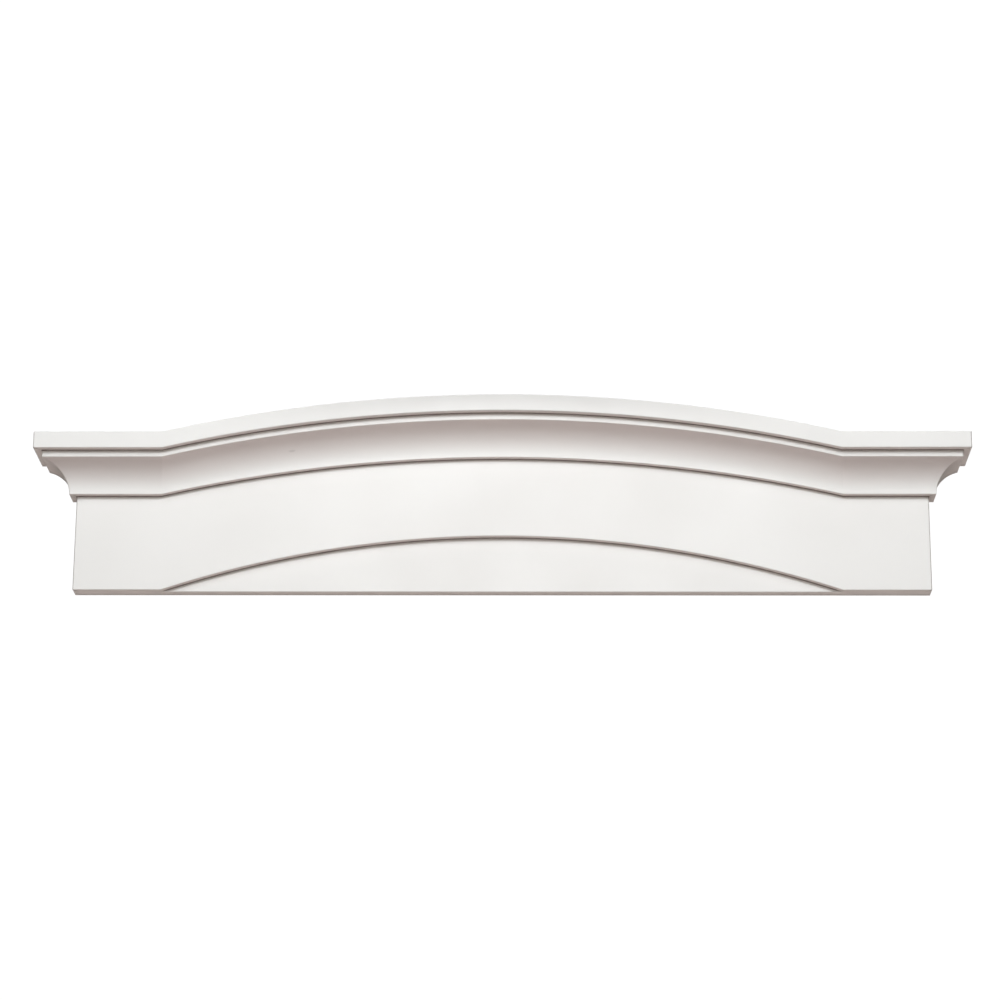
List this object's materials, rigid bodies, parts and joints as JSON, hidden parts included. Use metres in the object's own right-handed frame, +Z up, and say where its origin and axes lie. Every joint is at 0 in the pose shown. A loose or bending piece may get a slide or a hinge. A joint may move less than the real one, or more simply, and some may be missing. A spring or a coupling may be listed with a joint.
{
  "type": "window crosshead",
  "caption": "Arched window crosshead: frieze board with a sunk arched panel under a cove crown moulding that rises in a low arch and returns to the wall at both ends",
  "frame": {"origin": "middle of the flat back, half way along and half way up, where it lies on the wall", "axes": "+X along the crosshead to the right as seen from the front, +Y out of the back into the wall, +Z up"},
  "size_m": [1.778, 0.1143, 0.3656],
  "materials": {
    "white_coating": "moulded rigid foam with a factory coat of white primer, satin to matt, slightly warm"
  },
  "bodies": {
    "root": {"crosshead": "white_coating"}
  },
  "joints": []
}
